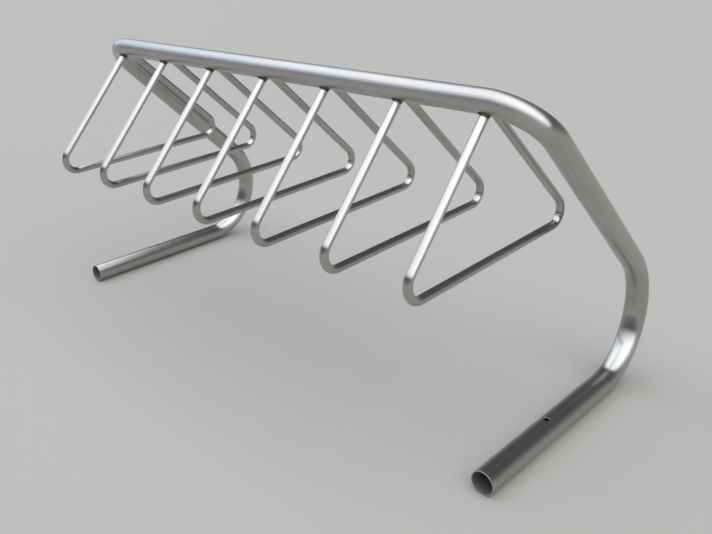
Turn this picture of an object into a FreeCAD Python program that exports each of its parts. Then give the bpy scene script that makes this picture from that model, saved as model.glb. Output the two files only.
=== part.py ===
import FreeCAD, Part
import math
import os

# Hoop bike rack: one long tube bent into a rail, two sloping uprights and two feet,
# with a row of rounded-triangle hoops welded under the rail. All sizes are millimetres.
#
# Frame: the origin lies on the ground, midway between the two anchor holes in the feet.
# +X runs along the rail, the open ends of the feet point to -Y, and +Z is up.

# Main tube
TUBE_OD = 60.3
TUBE_WALL = 2.6
OVERALL_HEIGHT = 900.0
TOP_BEND_RADIUS = 130.0
FOOT_BEND_RADIUS = 190.0
FOOT_STRAIGHT = 555.0
UPRIGHT_LEAN = 46.3

# Ground fixing: one hole through each foot
ANCHOR_HOLE = 14.0
ANCHOR_SETBACK = 277.5

# Hoops of solid round bar in an even row, its two ends just past the start of the top bends.
# Reach and drop place each corner's sharp point, measured from the rail's axis. A leg's seat
# is where its centre line meets the rail, in degrees from the rail's lowest line.
HOOP_COUNT = 7
HOOP_PITCH = 245.0
END_HOOP_PAST_BEND = 12.5
HOOP_BAR = 22.0
FRONT_SEAT = 20.0
FRONT_REACH = 325.0
FRONT_DROP = 393.0
FRONT_BEND_RADIUS = 42.0
REAR_SEAT = 42.0
REAR_REACH = 406.0
REAR_DROP = 377.0
REAR_BEND_RADIUS = 38.0

# Weld bead round the top of each hoop leg: its width on the rail and its height on the hoop
WELD_ON_RAIL = 2.0
WELD_ON_HOOP = 3.0

# How far a cutting tool runs past what it cuts
CUT_SPARE = 1.0

X_AXIS = FreeCAD.Vector(1, 0, 0)
Y_AXIS = FreeCAD.Vector(0, 1, 0)
Z_AXIS = FreeCAD.Vector(0, 0, 1)

TUBE_RADIUS = TUBE_OD / 2
HOOP_RADIUS = HOOP_BAR / 2


def rounded_path(corners, radii):
    """Straight runs between the corners, joined by tangent arcs of the given radii."""
    edges = []
    run_start = corners[0]
    for before, corner, after, radius in zip(corners, corners[1:], corners[2:], radii):
        way_in = (corner - before).normalize()
        way_out = (after - corner).normalize()
        turn = way_in.getAngle(way_out)
        setback = radius * math.tan(turn / 2)
        arc_start = corner - way_in * setback
        arc_end = corner + way_out * setback
        inward = (way_out - way_in).normalize()
        arc_middle = corner + inward * (radius / math.cos(turn / 2) - radius)
        edges.append(Part.LineSegment(run_start, arc_start).toShape())
        edges.append(Part.Arc(arc_start, arc_middle, arc_end).toShape())
        run_start = arc_end
    edges.append(Part.LineSegment(run_start, corners[-1]).toShape())
    return Part.Wire(edges)


def bent_bar(corners, radii, radius):
    """A round bar bent along the rounded path through the corners."""
    start = corners[0]
    circle = Part.makeCircle(radius, start, corners[1] - start)
    disc = Part.Face(Part.Wire(circle))
    return rounded_path(corners, radii).makePipe(disc)


def bent_tube(corners, radii, radius, wall):
    """A bent bar with the same bar, thinner by the wall, taken out of it."""
    return bent_bar(corners, radii, radius).cut(bent_bar(corners, radii, radius - wall))


def rail_axis():
    """The rail's height, and how far forward or back the uprights carry it."""
    lean = math.radians(UPRIGHT_LEAN)
    height = OVERALL_HEIGHT - TUBE_RADIUS
    y = foot_corner_y() - (height - TUBE_RADIUS) * math.tan(lean)
    return FreeCAD.Vector(0, y, height)


def foot_corner_y():
    """Where the line of the foot meets the line of the upright, behind the lower bend."""
    turn = math.radians(90 + UPRIGHT_LEAN)
    return FOOT_STRAIGHT - ANCHOR_SETBACK + FOOT_BEND_RADIUS * math.tan(turn / 2)


def rail_straight():
    """The rail's straight run, which the end hoops stand just past."""
    return (HOOP_COUNT - 1) * HOOP_PITCH - 2 * END_HOOP_PAST_BEND


def foot_x():
    """Half the distance between the axes of the two feet."""
    return rail_straight() / 2 + TOP_BEND_RADIUS


def main_corners():
    """The main tube's path, from the left foot's open end over the rail to the right one."""
    rail = rail_axis()
    left = [
        FreeCAD.Vector(-foot_x(), -ANCHOR_SETBACK, TUBE_RADIUS),
        FreeCAD.Vector(-foot_x(), foot_corner_y(), TUBE_RADIUS),
        FreeCAD.Vector(-foot_x(), rail.y, rail.z),
    ]
    right = [FreeCAD.Vector(-point.x, point.y, point.z) for point in reversed(left)]
    return left + right


MAIN_BENDS = [FOOT_BEND_RADIUS, TOP_BEND_RADIUS, TOP_BEND_RADIUS, FOOT_BEND_RADIUS]


def main_tube():
    """The whole frame in one tube, with an anchor hole straight down through each foot."""
    tube = bent_tube(main_corners(), MAIN_BENDS, TUBE_RADIUS, TUBE_WALL)
    for side in (-1, 1):
        below = FreeCAD.Vector(side * foot_x(), 0, -CUT_SPARE)
        drill = Part.makeCylinder(ANCHOR_HOLE / 2, TUBE_OD + 2 * CUT_SPARE, below, Z_AXIS)
        tube = tube.cut(drill)
    return tube


def hoop_x(number):
    """Hoops stand square to the rail at an even pitch, centred on it."""
    return (number - 1 - (HOOP_COUNT - 1) / 2) * HOOP_PITCH


def seat(centre, degrees):
    """A point on the rail's skin, so many degrees behind its lowest line."""
    angle = math.radians(degrees)
    return centre + (Y_AXIS * math.sin(angle) - Z_AXIS * math.cos(angle)) * TUBE_RADIUS


def hoop_points(number):
    """A hoop's centre line: front seat, front corner, rear corner and rear seat."""
    centre = rail_axis() + X_AXIS * hoop_x(number)
    front = centre - Y_AXIS * FRONT_REACH - Z_AXIS * FRONT_DROP
    rear = centre + Y_AXIS * REAR_REACH - Z_AXIS * REAR_DROP
    return seat(centre, -FRONT_SEAT), front, rear, seat(centre, REAR_SEAT)


def inside_rail(leg_seat, corner):
    """The leg's line carried on a tube radius into the rail, past the deepest part of its seat."""
    return leg_seat + (leg_seat - corner).normalize() * TUBE_RADIUS


def hoop(number, rail_skin):
    """One bent bar whose two ends are saddle-cut to sit on the rail's round underside."""
    front_seat, front, rear, rear_seat = hoop_points(number)
    corners = [inside_rail(front_seat, front), front, rear, inside_rail(rear_seat, rear)]
    bends = [FRONT_BEND_RADIUS, REAR_BEND_RADIUS]
    return bent_bar(corners, bends, HOOP_RADIUS).cut(rail_skin)


def weld_bead(leg_seat, corner, rail_skin, rail_sleeve):
    """The weld round one leg: a collar on the bar that follows the saddle all the way round."""
    start = inside_rail(leg_seat, corner)
    along = corner - leg_seat
    length = 2 * TUBE_RADIUS
    collar = Part.makeCylinder(HOOP_RADIUS + WELD_ON_RAIL, length, start, along)
    leg = Part.makeCylinder(HOOP_RADIUS, length, start, along)
    return collar.cut(leg).common(rail_sleeve).cut(rail_skin)


def save(shape, node):
    """Write one sub-part, checking that it is a single sound solid."""
    solid, = shape.Solids
    if not solid.isValid():
        raise ValueError(node + " is not a valid solid")
    solid.exportStep("parts/" + node + ".step")


os.makedirs("parts", exist_ok=True)

save(main_tube(), "main_tube")

skin = bent_bar(main_corners(), MAIN_BENDS, TUBE_RADIUS)
sleeve = bent_bar(main_corners(), MAIN_BENDS, TUBE_RADIUS + WELD_ON_HOOP)
for number in range(1, HOOP_COUNT + 1):
    name = "hoop_" + str(number)
    front_seat, front, rear, rear_seat = hoop_points(number)
    save(hoop(number, skin), name)
    save(weld_bead(front_seat, front, skin, sleeve), name + "_front_weld")
    save(weld_bead(rear_seat, rear, skin, sleeve), name + "_rear_weld")
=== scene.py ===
import math
import bmesh
import bpy
from mathutils import Matrix, Vector
from mathutils.bvhtree import BVHTree
from mathutils.interpolate import poly_3d_calc


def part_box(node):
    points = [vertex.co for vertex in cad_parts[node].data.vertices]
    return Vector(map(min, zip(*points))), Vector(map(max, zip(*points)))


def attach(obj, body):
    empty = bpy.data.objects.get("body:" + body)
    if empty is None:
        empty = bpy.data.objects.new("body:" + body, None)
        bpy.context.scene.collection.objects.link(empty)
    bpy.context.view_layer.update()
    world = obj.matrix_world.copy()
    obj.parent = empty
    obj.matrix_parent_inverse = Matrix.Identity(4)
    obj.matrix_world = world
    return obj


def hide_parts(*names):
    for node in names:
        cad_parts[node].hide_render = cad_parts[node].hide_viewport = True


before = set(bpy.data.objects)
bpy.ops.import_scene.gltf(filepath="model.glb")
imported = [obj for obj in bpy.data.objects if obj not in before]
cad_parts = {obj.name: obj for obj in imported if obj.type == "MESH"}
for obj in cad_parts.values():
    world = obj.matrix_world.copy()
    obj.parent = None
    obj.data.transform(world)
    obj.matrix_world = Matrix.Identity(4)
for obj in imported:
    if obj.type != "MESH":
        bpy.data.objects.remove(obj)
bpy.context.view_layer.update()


# Main tube: one length of 60.3 mm stainless tube, sawn square at both ends and bent four times.
# It is the rail, the two uprights and the two feet in one piece, linished along its length,
# and each foot has a hole drilled straight down through both walls for a ground anchor.
TUBE_OD = 0.0603
TUBE_WALL = 0.0026
FOOT_RUN = 0.555
FOOT_BEND = 0.190
TOP_BEND = 0.130
UPRIGHT_LEAN = math.radians(46.3)
ANCHOR_HOLE = 0.014
EDGE_BREAK = 0.0007

# The tube's finishes, in the order of its material slots
OUTSIDE, BORE, DRILLED = 0, 1, 2

X_AXIS = Vector((1, 0, 0))
Y_AXIS = Vector((0, 1, 0))
Z_AXIS = Vector((0, 0, 1))

tube_low, tube_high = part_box("main_tube")
tube_radius = TUBE_OD / 2
foot_x = tube_high.x - tube_radius
foot_turn = math.radians(90) + UPRIGHT_LEAN
foot_corner_y = tube_low.y + FOOT_RUN + FOOT_BEND * math.tan(foot_turn / 2)
rail_height = tube_high.z - tube_radius
rail_drop = rail_height - tube_radius
rail_centre = Vector((0, foot_corner_y - rail_drop * math.tan(UPRIGHT_LEAN), rail_height))
upright_run = rail_drop / math.cos(UPRIGHT_LEAN) - FOOT_BEND * math.tan(foot_turn / 2) - TOP_BEND
rail_run = 2 * (foot_x - TOP_BEND)
up_the_upright = Vector((0, -math.sin(UPRIGHT_LEAN), math.cos(UPRIGHT_LEAN)))


class BentLength:
    """A round skin that grows ring by ring, the way a bender feeds and turns it.

    It sets out square to the X axis. Each point keeps its place on the straight length, in the
    attribute "straight", so that grain and marks follow the bends.
    """

    def __init__(self, start, heading, radius, points_round):
        self.mesh = bmesh.new()
        self.straight = self.mesh.verts.layers.float_vector.new("straight")
        self.centre = Vector(start)
        self.heading = Vector(heading).normalized()
        self.travelled = 0.0
        side = X_AXIS.cross(self.heading).normalized()
        turn = Matrix((X_AXIS, side, self.heading)).transposed().to_4x4()
        place = Matrix.Translation(self.centre) @ turn
        ring = bmesh.ops.create_circle(self.mesh, segments=points_round, radius=radius)["verts"]
        for vert in ring:
            vert[self.straight] = vert.co
        bmesh.ops.transform(self.mesh, matrix=place, verts=ring)
        self.first_rim = list(self.mesh.edges)
        self.rim = list(self.mesh.edges)

    def grow(self, motion, length):
        """Pull a new ring out of the rim and move it by the motion."""
        pulled = bmesh.ops.extrude_edge_only(self.mesh, edges=self.rim)["geom"]
        ring = [part for part in pulled if isinstance(part, bmesh.types.BMVert)]
        bmesh.ops.transform(self.mesh, matrix=motion, verts=ring)
        self.rim = [part for part in pulled if isinstance(part, bmesh.types.BMEdge)]
        self.travelled += length
        for vert in ring:
            vert[self.straight].z = self.travelled
        self.centre = motion @ self.centre
        self.heading = motion.to_3x3() @ self.heading

    def run(self, *stops):
        """Feed straight on to each stop, measured from where the run starts."""
        begun = 0.0
        for stop in stops:
            self.grow(Matrix.Translation(self.heading * (stop - begun)), stop - begun)
            begun = stop

    def bend(self, radius, axis, angle, steps):
        """Turn about an axis that lies the radius away, to the side the bend goes."""
        pivot = self.centre + axis.cross(self.heading).normalized() * radius
        turn = Matrix.Rotation(angle / steps, 4, axis)
        motion = Matrix.Translation(pivot) @ turn @ Matrix.Translation(-pivot)
        for _ in range(steps):
            self.grow(motion, radius * angle / steps)


def lay_brushing(mesh, radius):
    """A UV map with U round the bar and V along it, which the grain's direction follows."""
    straight = mesh.verts.layers.float_vector["straight"]
    brushing = mesh.loops.layers.uv.new("brushing")
    for face in mesh.faces:
        angles = [math.atan2(loop.vert[straight].y, loop.vert[straight].x) for loop in face.loops]
        wraps = max(angles) - min(angles) > math.pi
        for loop, angle in zip(face.loops, angles):
            unwrapped = angle + 2 * math.pi if wraps and angle < 0 else angle
            loop[brushing].uv = (unwrapped * radius, loop.vert[straight].z)


def finished_piece(name, mesh):
    """Turn a bmesh into a smooth-shaded object, faces outwards, that rides on the rack."""
    SHARP = math.radians(30)
    bmesh.ops.recalc_face_normals(mesh, faces=mesh.faces)
    if mesh.calc_volume(signed=True) < 0:
        bmesh.ops.reverse_faces(mesh, faces=mesh.faces)
    for face in mesh.faces:
        face.smooth = True
    data = bpy.data.meshes.new(name)
    mesh.to_mesh(data)
    mesh.free()
    data.set_sharp_from_angle(angle=SHARP)
    piece = bpy.data.objects.new(name, data)
    bpy.context.scene.collection.objects.link(piece)
    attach(piece, "root")
    return piece


def main_tube_skin():
    """The whole bent path, from the left foot's open end to the right one's."""
    ROUND = 96
    RING_GAP = 0.006
    HOLE_ROOM = 0.011
    FOOT_BEND_STEPS = 68
    TOP_BEND_STEPS = 45
    skin = BentLength((-foot_x, tube_low.y, tube_radius), Y_AXIS, tube_radius, ROUND)
    hole = -tube_low.y
    over_the_top = up_the_upright.cross(X_AXIS)
    skin.run(RING_GAP, hole - HOLE_ROOM, hole + HOLE_ROOM, FOOT_RUN - RING_GAP, FOOT_RUN)
    skin.bend(FOOT_BEND, X_AXIS, foot_turn, FOOT_BEND_STEPS)
    skin.run(RING_GAP, upright_run - RING_GAP, upright_run)
    skin.bend(TOP_BEND, over_the_top, math.radians(90), TOP_BEND_STEPS)
    skin.run(RING_GAP, rail_run - RING_GAP, rail_run)
    skin.bend(TOP_BEND, over_the_top, math.radians(90), TOP_BEND_STEPS)
    skin.run(RING_GAP, upright_run - RING_GAP, upright_run)
    skin.bend(FOOT_BEND, -X_AXIS, foot_turn, FOOT_BEND_STEPS)
    skin.run(RING_GAP, FOOT_RUN - hole - HOLE_ROOM, FOOT_RUN - hole + HOLE_ROOM,
             FOOT_RUN - RING_GAP, FOOT_RUN)
    return skin.mesh


def give_wall(mesh, outer_skin):
    """Thicken the skin inward, and mark the bore. The sawn ends, at half its depth, stay outside."""
    BORE_DEPTH = TUBE_WALL * 0.75
    bmesh.ops.recalc_face_normals(mesh, faces=mesh.faces)
    bmesh.ops.solidify(mesh, geom=mesh.faces[:], thickness=TUBE_WALL)
    for face in mesh.faces:
        depth = outer_skin.find_nearest(face.calc_center_median())[3]
        face.material_index = BORE if depth > BORE_DEPTH else OUTSIDE


def drill_anchor_holes(mesh):
    """Cut both feet straight down through the middle of their length, and mark the holes' walls."""
    SIDES = 36
    BIT_LENGTH = TUBE_OD * 1.2
    data = bpy.data.meshes.new("blank")
    mesh.to_mesh(data)
    blank = bpy.data.objects.new("blank", data)
    bits = bmesh.new()
    for side in (-1, 1):
        place = Matrix.Translation((side * foot_x, 0, tube_radius))
        bmesh.ops.create_cone(bits, cap_ends=True, segments=SIDES, radius1=ANCHOR_HOLE / 2,
                              radius2=ANCHOR_HOLE / 2, depth=BIT_LENGTH, matrix=place)
    for face in bits.faces:
        face.material_index = DRILLED
    bit_data = bpy.data.meshes.new("drill")
    bits.to_mesh(bit_data)
    bits.free()
    drill = bpy.data.objects.new("drill", bit_data)
    cut = blank.modifiers.new("anchor_holes", "BOOLEAN")
    cut.operation = "DIFFERENCE"
    cut.solver = "EXACT"
    cut.object = drill
    for tool in (blank, drill):
        bpy.context.scene.collection.objects.link(tool)
    bpy.context.view_layer.update()
    drilled = blank.evaluated_get(bpy.context.evaluated_depsgraph_get()).to_mesh()
    mesh.clear()
    mesh.from_mesh(drilled)
    for tool in (blank, drill):
        bpy.data.objects.remove(tool)


def break_edges(mesh):
    """Deburr the sawn ends and the drilled holes with a small round on every sharp edge."""
    SHARP = math.radians(60)
    TINY = 0.0003
    SEGMENTS = 4
    sharp = [edge for edge in mesh.edges if edge.is_manifold and edge.calc_face_angle() > SHARP]
    corners = list({vert for edge in sharp for vert in edge.verts})
    bmesh.ops.remove_doubles(mesh, verts=corners, dist=TINY)
    sharp = [edge for edge in mesh.edges if edge.is_manifold and edge.calc_face_angle() > SHARP]
    bmesh.ops.bevel(mesh, geom=sharp, offset=EDGE_BREAK, offset_type="OFFSET", segments=SEGMENTS,
                    profile=0.5, affect="EDGES", material=-1, clamp_overlap=False)


def place_on_the_straight(mesh, skin, outer_skin):
    """Find each point's place on the straight length again, for the points that cutting added."""
    straight = mesh.verts.layers.float_vector["straight"]
    skin_straight = skin.verts.layers.float_vector["straight"]
    for vert in mesh.verts:
        spot, _, face, depth = outer_skin.find_nearest(vert.co)
        corners = skin.faces[face].verts
        shares = poly_3d_calc([corner.co for corner in corners], spot)
        place = sum((corner[skin_straight] * share for corner, share in zip(corners, shares)), Vector())
        inward = 1 - depth / tube_radius
        vert[straight] = (place.x * inward, place.y * inward, place.z)


skin = main_tube_skin()
skin.faces.ensure_lookup_table()
skin_tree = BVHTree.FromBMesh(skin)
walled = skin.copy()
give_wall(walled, skin_tree)
drill_anchor_holes(walled)
break_edges(walled)
place_on_the_straight(walled, skin, skin_tree)
lay_brushing(walled, tube_radius)
tube = finished_piece("main_tube_linished", walled)
shading = tube.modifiers.new("flat_beside_edges", "WEIGHTED_NORMAL")
shading.keep_sharp = True
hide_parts("main_tube")


def feed(tree, socket, value):
    """Set a node's input to a plain value, or link it to the output of another node."""
    if isinstance(value, bpy.types.NodeSocket):
        tree.links.new(value, socket)
    else:
        socket.default_value = value


def math_node(tree, operation, *inputs):
    """One Math node, its inputs given as numbers or as the outputs of other nodes."""
    node = tree.nodes.new("ShaderNodeMath")
    node.operation = operation
    for socket, value in zip(node.inputs, inputs):
        feed(tree, socket, value)
    return node.outputs[0]


def vector_node(tree, operation, *inputs):
    """One Vector Math node, its inputs given as vectors or as the outputs of other nodes."""
    node = tree.nodes.new("ShaderNodeVectorMath")
    node.operation = operation
    for socket, value in zip(node.inputs, inputs):
        feed(tree, socket, value)
    return node.outputs["Value" if operation in ("DOT_PRODUCT", "LENGTH") else "Vector"]


def scaled(tree, vector, factor):
    """A vector or a colour, multiplied by the output of another node."""
    product = vector_node(tree, "SCALE", vector)
    tree.links.new(factor, product.node.inputs["Scale"])
    return product


def ramp_node(tree, value, start, end, low=0.0, high=1.0):
    """A smooth step of the value from start to end, which may run backwards."""
    node = tree.nodes.new("ShaderNodeMapRange")
    node.interpolation_type = "SMOOTHSTEP"
    tree.links.new(value, node.inputs["Value"])
    for socket, number in zip(("From Min", "From Max", "To Min", "To Max"), (start, end, low, high)):
        node.inputs[socket].default_value = number
    return node.outputs["Result"]


def noise_node(tree, place, scale, stretch=1.0):
    """Noise at the given scale, drawn out along Z by the stretch."""
    noise = tree.nodes.new("ShaderNodeTexNoise")
    noise.inputs["Scale"].default_value = scale
    drawn_out = vector_node(tree, "MULTIPLY", place, (1, 1, 1 / stretch))
    tree.links.new(drawn_out, noise.inputs["Vector"])
    return noise.outputs["Fac"]


def spread_noise(tree, noise, low, high):
    """Noise made to run from low to high, over the stretch where most of its values lie."""
    MOST_FROM, MOST_TO = 0.3, 0.7
    return ramp_node(tree, noise, MOST_FROM, MOST_TO, low, high)


def mixed_colours(tree, way, factor, first, second):
    """Two colours mixed in a way that the Mix node names, by a share of the second one."""
    node = tree.nodes.new("ShaderNodeMix")
    node.data_type = "RGBA"
    node.blend_type = way
    for name, value in (("Factor", factor), ("A", first), ("B", second)):
        feed(tree, node.inputs[name], value)
    return node.outputs["Result"]


def colour_ramp(tree, value, stops):
    """The colour for a value, from two or more stops that each give a position and a colour."""
    node = tree.nodes.new("ShaderNodeValToRGB")
    tree.links.new(value, node.inputs["Fac"])
    bands = node.color_ramp.elements
    for band, (position, colour) in zip(bands, (stops[0], stops[-1])):
        band.position = position
        band.color = (*colour, 1)
    for position, colour in stops[1:-1]:
        bands.new(position).color = (*colour, 1)
    return node.outputs["Color"]


def shader_group(name, inputs, outputs):
    """An empty node group with named sockets, and the ends that its own nodes link to."""
    group = bpy.data.node_groups.new(name, "ShaderNodeTree")
    for way, sockets in (("INPUT", inputs), ("OUTPUT", outputs)):
        for socket, kind in sockets:
            group.interface.new_socket(socket, in_out=way, socket_type=kind)
    given = group.nodes.new("NodeGroupInput").outputs
    result = group.nodes.new("NodeGroupOutput").inputs
    return group, given, result


def linished_steel_group():
    """Stainless steel rubbed lengthwise with a fine belt: streaks, clouds, and a dark ring that is
    partly heat tint and partly painted shade.
    """
    # Multipliers from bare steel through straw and brown to near-black: heat tint, whose dark end also
    # paints the shade where each leg meets the rail.
    HEAT_AND_SHADE_COLOURS = ((0.0, (1, 1, 1)), (0.25, (0.88, 0.81, 0.70)), (0.5, (0.45, 0.38, 0.33)),
                    (0.75, (0.15, 0.135, 0.13)), (1.0, (0.07, 0.068, 0.07)))
    HEAT_DULLING = 0.25
    SCRATCH_DEPTH = 0.000002
    group, given, result = shader_group(
        "linished_steel",
        (("Steel", "NodeSocketColor"), ("Polish", "NodeSocketFloat"), ("Heat_and_shade", "NodeSocketFloat")),
        (("Color", "NodeSocketColor"), ("Roughness", "NodeSocketFloat"), ("Normal", "NodeSocketVector")))
    fed = group.nodes.new("ShaderNodeAttribute")
    fed.attribute_name = "straight"
    place = fed.outputs["Vector"]
    grain = noise_node(group, place, scale=1400, stretch=120)
    streaks = noise_node(group, place, scale=260, stretch=150)
    clouds = noise_node(group, place, scale=14, stretch=5)

    shade = math_node(group, "ADD", spread_noise(group, streaks, low=-0.02, high=0.02),
                      spread_noise(group, clouds, low=0.96, high=1.04))
    shade = math_node(group, "MULTIPLY", shade, spread_noise(group, grain, low=0.94, high=1.06))
    rubbed = scaled(group, given["Steel"], shade)
    tint = colour_ramp(group, given["Heat_and_shade"], HEAT_AND_SHADE_COLOURS)
    group.links.new(mixed_colours(group, "MULTIPLY", 1.0, rubbed, tint), result["Color"])

    matt = math_node(group, "ADD", given["Polish"], spread_noise(group, streaks, low=-0.006, high=0.006))
    matt = math_node(group, "ADD", matt, spread_noise(group, clouds, low=-0.018, high=0.018))
    matt = math_node(group, "MULTIPLY_ADD", given["Heat_and_shade"], HEAT_DULLING, matt)
    group.links.new(matt, result["Roughness"])

    scratch = group.nodes.new("ShaderNodeBump")
    scratch.inputs["Distance"].default_value = SCRATCH_DEPTH
    group.links.new(grain, scratch.inputs["Height"])
    group.links.new(scratch.outputs["Normal"], result["Normal"])
    return group


def steel_material(name, steel, polish, anisotropy):
    """A metal with its colour, polish and grain from the linished steel group, and its input for the
    heat tint and painted shade.
    """
    material = bpy.data.materials.new(name)
    material.use_nodes = True
    tree = material.node_tree
    shader = tree.nodes["Principled BSDF"]
    shader.inputs["Metallic"].default_value = 1.0
    shader.inputs["Anisotropic"].default_value = anisotropy
    finish = tree.nodes.new("ShaderNodeGroup")
    finish.node_tree = linished_steel
    finish.inputs["Steel"].default_value = (*steel, 1)
    finish.inputs["Polish"].default_value = polish
    tangent = tree.nodes.new("ShaderNodeTangent")
    tangent.direction_type = "UV_MAP"
    tangent.uv_map = "brushing"
    tree.links.new(finish.outputs["Color"], shader.inputs["Base Color"])
    tree.links.new(finish.outputs["Roughness"], shader.inputs["Roughness"])
    tree.links.new(finish.outputs["Normal"], shader.inputs["Normal"])
    tree.links.new(tangent.outputs["Tangent"], shader.inputs["Tangent"])
    return material, finish.inputs["Heat_and_shade"]


linished_steel = linished_steel_group()
STEEL_COLOUR = (0.45, 0.444, 0.427)
BORE_COLOUR = (0.32, 0.325, 0.32)
TUBE_POLISH = 0.255
BORE_POLISH = 0.7
DRILLED_POLISH = 0.3
GRAIN_STRETCH = 0.95
NO_GRAIN = 0.0
tube_steel, tube_heat_and_shade = steel_material("tube_steel", STEEL_COLOUR, TUBE_POLISH, GRAIN_STRETCH)
bore_steel, _ = steel_material("bore_steel", BORE_COLOUR, BORE_POLISH, NO_GRAIN)
drilled_steel, _ = steel_material("drilled_steel", STEEL_COLOUR, DRILLED_POLISH, NO_GRAIN)
for steel in (tube_steel, bore_steel, drilled_steel):
    tube.data.materials.append(steel)


# Hoops: seven alike pieces of 22 mm stainless round bar, each bent twice into a rounded
# triangle. Both legs are saddle-cut to sit on the rail's underside, the front one nearest
# to its lowest line.
HOOP_COUNT = 7
HOOP_PITCH = 0.245
HOOP_BAR = 0.022
FRONT_SEAT = math.radians(20)
FRONT_REACH = 0.325
FRONT_DROP = 0.393
FRONT_BEND = 0.042
REAR_SEAT = math.radians(42)
REAR_REACH = 0.406
REAR_DROP = 0.377
REAR_BEND = 0.038
HOOP_POLISH = 0.255

hoop_radius = HOOP_BAR / 2
front_seat = rail_centre + Vector((0, -math.sin(FRONT_SEAT), -math.cos(FRONT_SEAT))) * tube_radius
front_corner = rail_centre + Vector((0, -FRONT_REACH, -FRONT_DROP))
rear_corner = rail_centre + Vector((0, REAR_REACH, -REAR_DROP))
rear_seat = rail_centre + Vector((0, math.sin(REAR_SEAT), -math.cos(REAR_SEAT))) * tube_radius
down_front = (front_corner - front_seat).normalized()
to_rear = (rear_corner - front_corner).normalized()
down_rear = (rear_corner - rear_seat).normalized()


def point_on_rail(point, along):
    """Where a line along a leg, through the point, first meets the rail's skin from below."""
    WELL_BELOW = 0.1
    return skin_tree.ray_cast(point + along * WELL_BELOW, -along)[0]


def seat_on_rail(rim, along):
    """Move the rim's points along the leg until they lie on the rail's skin."""
    for vert in {vert for edge in rim for vert in edge.verts}:
        vert.co = point_on_rail(vert.co, along)


def hoop_bar(x):
    """Feed and bend one hoop, then cut its two ends to the rail."""
    ROUND = 40
    RING_GAP = 0.003
    SEAT_ROOM = 0.014
    BEND_STEPS = 30
    front_turn = down_front.angle(to_rear)
    rear_turn = to_rear.angle(-down_rear)
    front_setback = FRONT_BEND * math.tan(front_turn / 2)
    rear_setback = REAR_BEND * math.tan(rear_turn / 2)
    front_run = (front_corner - front_seat).length - front_setback
    bottom_run = (rear_corner - front_corner).length - front_setback - rear_setback
    rear_run = (rear_corner - rear_seat).length - rear_setback
    bar = BentLength(front_seat + X_AXIS * x, down_front, hoop_radius, ROUND)
    bar.run(SEAT_ROOM, front_run - RING_GAP, front_run)
    bar.bend(FRONT_BEND, X_AXIS, front_turn, BEND_STEPS)
    bar.run(RING_GAP, bottom_run - RING_GAP, bottom_run)
    bar.bend(REAR_BEND, X_AXIS, rear_turn, BEND_STEPS)
    bar.run(RING_GAP, rear_run - SEAT_ROOM, rear_run)
    seat_on_rail(bar.first_rim, down_front)
    seat_on_rail(bar.rim, down_rear)
    bmesh.ops.edgeloop_fill(bar.mesh, edges=bar.first_rim)
    bmesh.ops.edgeloop_fill(bar.mesh, edges=bar.rim)
    lay_brushing(bar.mesh, hoop_radius)
    return bar


hoop_steel, hoop_heat_and_shade = steel_material("hoop_steel", STEEL_COLOUR, HOOP_POLISH, GRAIN_STRETCH)
hoop_places = [(number - (HOOP_COUNT + 1) / 2) * HOOP_PITCH for number in range(1, HOOP_COUNT + 1)]
for number, x in enumerate(hoop_places, start=1):
    bar = hoop_bar(x)
    hoop_length = bar.travelled
    piece = finished_piece("hoop_%d_linished" % number, bar.mesh)
    piece.data.materials.append(hoop_steel)
    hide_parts("hoop_%d" % number)


# Welds: a fillet bead round the top of each leg, laid in small overlapping ripples and left
# as it cooled, dull and tinted by the heat.
WELD_WIDTH = 0.002
WELD_HEIGHT = 0.003
RIPPLES = 37
RIPPLE_DEPTH = 0.12


def weld_bead(place, along, wander):
    """Spin the bead's section round the leg, ripple it, and drape it on the rail."""
    CROWN_POINTS = 7
    STEPS_A_RIPPLE = 6
    CRESCENT = 2.2
    ROOT = 0.0001
    SLOW_SWELL = 0.05
    QUICK_SWELL = 0.03
    bead = bmesh.new()
    groove = bead.verts.layers.float.new("groove")
    section = [bead.verts.new((hoop_radius - ROOT, 0, -ROOT))]
    for point in range(CROWN_POINTS + 1):
        angle = math.radians(90) * point / CROWN_POINTS
        toe, rise = WELD_WIDTH * math.cos(angle), WELD_HEIGHT * math.sin(angle)
        section.append(bead.verts.new((hoop_radius + toe, 0, rise)))
    outline = [bead.edges.new(pair) for pair in zip(section, section[1:] + section[:1])]
    bmesh.ops.spin(bead, geom=section + outline, cent=(0, 0, 0), axis=Z_AXIS, angle=2 * math.pi,
                   steps=RIPPLES * STEPS_A_RIPPLE, use_merge=True)
    side = along.cross(X_AXIS)
    for vert in bead.verts:
        turn = math.atan2(vert.co.y, vert.co.x)
        outward = Vector((vert.co.x, vert.co.y, 0)).normalized()
        toe = (vert.co - outward * hoop_radius).dot(outward)
        rise = vert.co.z
        if rise >= 0:
            across = math.atan2(rise / WELD_HEIGHT, toe / WELD_WIDTH) / math.radians(90)
            phase = RIPPLES * turn + CRESCENT * (2 * across - 1) ** 2
            vert[groove] = 1 - abs(math.cos(phase / 2))
            size = 1 - RIPPLE_DEPTH * vert[groove]
            size *= (1 + SLOW_SWELL * math.sin(2 * turn + wander)
                     + QUICK_SWELL * math.sin(5 * turn + 2 * wander))
            toe, rise = toe * size, rise * size
        spoke = outward * (hoop_radius + toe)
        beside = place + X_AXIS * spoke.x + side * spoke.y
        vert.co = point_on_rail(beside, along) + along * rise
    return bead


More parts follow.
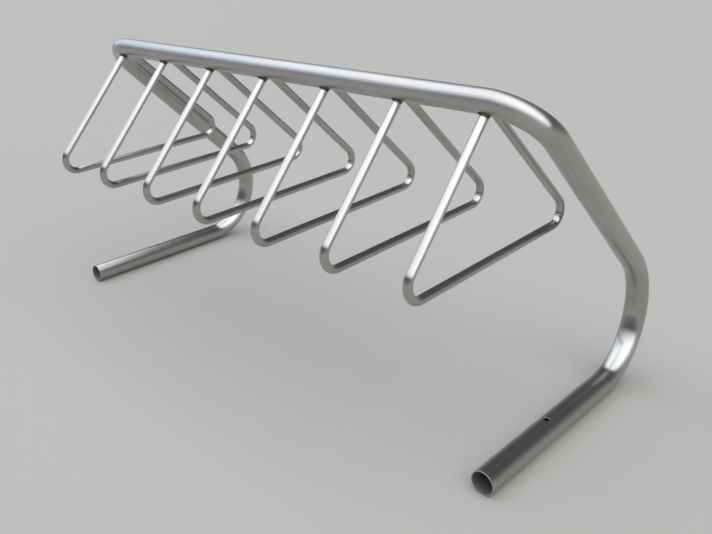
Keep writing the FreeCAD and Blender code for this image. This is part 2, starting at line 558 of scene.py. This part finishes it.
def weld_metal_material():
    """Weld metal with the straw, brown and grey of a bead that nobody cleaned."""
    WELD_COLOURS = ((0.3, (0.34, 0.32, 0.30)), (0.55, (0.17, 0.153, 0.136)),
                    (0.8, (0.045, 0.043, 0.043)))
    GROOVE_DARKENING = 0.35
    PIT_DEPTH = 0.00003
    material = bpy.data.materials.new("weld_metal")
    material.use_nodes = True
    tree = material.node_tree
    shader = tree.nodes["Principled BSDF"]
    shader.inputs["Metallic"].default_value = 1.0
    place = tree.nodes.new("ShaderNodeTexCoord").outputs["Object"]
    patches = noise_node(tree, place, scale=260)
    pits = noise_node(tree, place, scale=1500)
    groove = tree.nodes.new("ShaderNodeAttribute")
    groove.attribute_name = "groove"
    # Darker in the ripples' grooves and in random patches.
    groove_and_patch_tone = math_node(tree, "MULTIPLY_ADD", groove.outputs["Fac"], GROOVE_DARKENING, patches)
    tree.links.new(colour_ramp(tree, groove_and_patch_tone, WELD_COLOURS), shader.inputs["Base Color"])
    tree.links.new(spread_noise(tree, patches, low=0.34, high=0.5), shader.inputs["Roughness"])
    bump = tree.nodes.new("ShaderNodeBump")
    bump.inputs["Distance"].default_value = PIT_DEPTH
    tree.links.new(pits, bump.inputs["Height"])
    tree.links.new(bump.outputs["Normal"], shader.inputs["Normal"])
    return material


weld_metal = weld_metal_material()
for number, x in enumerate(hoop_places, start=1):
    for end, seat, along in (("front", front_seat, down_front), ("rear", rear_seat, down_rear)):
        bead = weld_bead(seat + X_AXIS * x, along, wander=number if end == "front" else -number)
        piece = finished_piece("hoop_%d_%s_bead" % (number, end), bead)
        piece.data.materials.append(weld_metal)
        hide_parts("hoop_%d_%s_weld" % (number, end))


# Heat tint and painted shade: round each weld lies a dark ring on the rail and on its leg, fading
# through brown and straw into bare steel. It is partly oxide left by the welding and partly painted
# shade in the crease where the leg meets the rail.
DARK_RING_REACH = 0.007
DARK_RING_WANDER = 0.004


def heat_and_shade_ramp(tree, distance, place):
    """Heat tint and painted shade from a distance beyond the bead's toe, its edge made uneven by noise.
    """
    uneven = math_node(tree, "MULTIPLY_ADD", noise_node(tree, place, scale=180), DARK_RING_WANDER, distance)
    return ramp_node(tree, uneven, DARK_RING_REACH + DARK_RING_WANDER / 2, DARK_RING_WANDER / 2)


def heat_and_shade_round_seat_group():
    """Heat tint and painted shade round a row of seats that repeats along X, one seat and leg direction
    given.
    """
    group, given, result = shader_group(
        "heat_and_shade_round_seat",
        (("Point", "NodeSocketVector"), ("Seat", "NodeSocketVector"), ("Leg", "NodeSocketVector")),
        (("Heat_and_shade", "NodeSocketFloat"),))
    split = group.nodes.new("ShaderNodeSeparateXYZ")
    group.links.new(given["Point"], split.inputs["Vector"])
    nearest = math_node(group, "WRAP", split.outputs["X"], HOOP_PITCH / 2, -HOOP_PITCH / 2)
    join = group.nodes.new("ShaderNodeCombineXYZ")
    group.links.new(nearest, join.inputs["X"])
    for axis in ("Y", "Z"):
        group.links.new(split.outputs[axis], join.inputs[axis])
    offset = vector_node(group, "SUBTRACT", join.outputs["Vector"], given["Seat"])
    height = vector_node(group, "DOT_PRODUCT", offset, given["Leg"])
    up_the_leg = scaled(group, given["Leg"], height)
    from_leg = vector_node(group, "LENGTH", vector_node(group, "SUBTRACT", offset, up_the_leg))
    beyond_toe = math_node(group, "SUBTRACT", from_leg, hoop_radius + WELD_WIDTH)
    heat_and_shade = heat_and_shade_ramp(group, beyond_toe, given["Point"])
    underside = ramp_node(group, height, -tube_radius, -tube_radius / 2)
    group.links.new(math_node(group, "MULTIPLY", heat_and_shade, underside), result["Heat_and_shade"])
    return group


heat_and_shade_round_seat = heat_and_shade_round_seat_group()
tube_tree = tube_steel.node_tree
# The rail gets the ring of heat tint and painted shade round the seats of both legs.
rail_heat_and_shade = []
for seat, along in ((front_seat, down_front), (rear_seat, down_rear)):
    node = tube_tree.nodes.new("ShaderNodeGroup")
    node.node_tree = heat_and_shade_round_seat
    node.inputs["Seat"].default_value = seat
    node.inputs["Leg"].default_value = along
    point = tube_tree.nodes.new("ShaderNodeTexCoord")
    tube_tree.links.new(point.outputs["Object"], node.inputs["Point"])
    rail_heat_and_shade.append(node.outputs["Heat_and_shade"])
tube_tree.links.new(math_node(tube_tree, "MAXIMUM", *rail_heat_and_shade), tube_heat_and_shade)

hoop_tree = hoop_steel.node_tree
along_bar = hoop_tree.nodes.new("ShaderNodeAttribute")
along_bar.attribute_name = "straight"
fed = hoop_tree.nodes.new("ShaderNodeSeparateXYZ")
hoop_tree.links.new(along_bar.outputs["Vector"], fed.inputs["Vector"])
# The hoops' legs get the same ring of heat tint and painted shade just below each bead.
left_to_feed = math_node(hoop_tree, "SUBTRACT", hoop_length, fed.outputs["Z"])
from_end = math_node(hoop_tree, "MINIMUM", fed.outputs["Z"], left_to_feed)
beyond_bead = math_node(hoop_tree, "SUBTRACT", from_end, WELD_HEIGHT)
hoop_tree.links.new(heat_and_shade_ramp(hoop_tree, beyond_bead, along_bar.outputs["Vector"]), hoop_heat_and_shade)


# Floor: plain, pale and matt, and wide enough to reach the horizon from every side.
# The rack stands on it, and its steel reflects it.
FLOOR_COLOUR = (0.355, 0.341, 0.318)
FLOOR_SIZE = 400.0
FLOOR_ROUGHNESS = 0.9
FLOOR_GLOSS = 0.1

floor_mesh = bmesh.new()
bmesh.ops.create_grid(floor_mesh, x_segments=1, y_segments=1, size=FLOOR_SIZE / 2)
floor_data = bpy.data.meshes.new("floor")
floor_mesh.to_mesh(floor_data)
floor_mesh.free()
floor = bpy.data.objects.new("floor", floor_data)
bpy.context.scene.collection.objects.link(floor)
floor_material = bpy.data.materials.new("pale_floor")
floor_material.use_nodes = True
floor_shader = floor_material.node_tree.nodes["Principled BSDF"]
floor_shader.inputs["Base Color"].default_value = (*FLOOR_COLOUR, 1)
floor_shader.inputs["Roughness"].default_value = FLOOR_ROUGHNESS
floor_shader.inputs["Specular IOR Level"].default_value = FLOOR_GLOSS
floor_data.materials.append(floor_material)


# Light: a tent of soft light, its bright roof overhead and toward the front, its walls plain
# grey. Places on the roof are slopes, so many metres along X or Y for each metre up, and
# heights are the Z of a direction one metre long.
ROOF_FRONT = -1.28
ROOF_FRONT_FADE = 1.0
ROOF_BACK = 0.48
ROOF_BACK_FADE = 0.07
ROOF_BACK_RIGHT, ROOF_BACK_LEFT = 0.16, -0.26
ROOF_LEFT = (1.23, 1.40, 1.67, 1)
ROOF_MIDDLE = (2.09, 2.19, 2.37, 1)
ROOF_RIGHT = (2.50, 2.54, 2.61, 1)
LEFT_ENDS, MIDDLE_STARTS = -1.84, -0.84
MIDDLE_ENDS, RIGHT_STARTS = -0.5, 0.6
ROOF_FOOT, ROOF_FULL = 0.05, 0.12
WALL_FOOT = (0.31, 0.31, 0.31, 1)
WALL_TOP = (0.11, 0.11, 0.11, 1)
WALL_TOP_HEIGHT = 0.5

world = bpy.data.worlds.new("light_tent")
world.use_nodes = True
bpy.context.scene.world = world
tent = world.node_tree
look = tent.nodes.new("ShaderNodeSeparateXYZ")
tent.links.new(tent.nodes.new("ShaderNodeTexCoord").outputs["Generated"], look.inputs["Vector"])
upward = math_node(tent, "MAXIMUM", look.outputs["Z"], ROOF_FOOT)
along_x = math_node(tent, "DIVIDE", look.outputs["X"], upward)
along_y = math_node(tent, "DIVIDE", look.outputs["Y"], upward)
to_right = math_node(tent, "MAXIMUM", along_x, 0.0)
to_left = math_node(tent, "MINIMUM", along_x, 0.0)
back_y = math_node(tent, "MULTIPLY_ADD", to_right, -ROOF_BACK_RIGHT, along_y)
back_y = math_node(tent, "MULTIPLY_ADD", to_left, -ROOF_BACK_LEFT, back_y)
roof = ramp_node(tent, look.outputs["Z"], ROOF_FOOT, ROOF_FULL)
for reach, edge, fade in ((along_y, ROOF_FRONT, -ROOF_FRONT_FADE), (back_y, ROOF_BACK, ROOF_BACK_FADE)):
    inside = ramp_node(tent, reach, edge + fade, edge - fade)
    roof = math_node(tent, "MULTIPLY", roof, inside)

past_left = ramp_node(tent, along_x, LEFT_ENDS, MIDDLE_STARTS)
past_middle = ramp_node(tent, along_x, MIDDLE_ENDS, RIGHT_STARTS)
up_the_wall = ramp_node(tent, look.outputs["Z"], 0.0, WALL_TOP_HEIGHT)
roof_colour = mixed_colours(tent, "MIX", past_left, ROOF_LEFT, ROOF_MIDDLE)
roof_colour = mixed_colours(tent, "MIX", past_middle, roof_colour, ROOF_RIGHT)
wall_colour = mixed_colours(tent, "MIX", up_the_wall, WALL_FOOT, WALL_TOP)
light = mixed_colours(tent, "MIX", roof, wall_colour, roof_colour)
tent.links.new(light, tent.nodes["Background"].inputs["Color"])


# Camera: where the photograph was taken from, 1.25 m above the ground, in front of the rack
# and out past its right end. Its frame is shifted to hold the whole rack.
CAMERA_PLACE = (1.692, -1.588, 1.250)
CAMERA_TURN = (72.74, 2.01, 46.28)
LENS = 40.25
SENSOR_WIDTH = 36.0
SHIFT_X, SHIFT_Y = 0.0771, -0.1321
camera_data = bpy.data.cameras.new("camera")
camera_data.lens = LENS
camera_data.sensor_width = SENSOR_WIDTH
camera_data.shift_x = SHIFT_X
camera_data.shift_y = SHIFT_Y
camera = bpy.data.objects.new("camera", camera_data)
camera.location = CAMERA_PLACE
camera.rotation_euler = [math.radians(angle) for angle in CAMERA_TURN]
bpy.context.scene.collection.objects.link(camera)
bpy.context.scene.camera = camera
bpy.context.scene.view_settings.view_transform = "Standard"
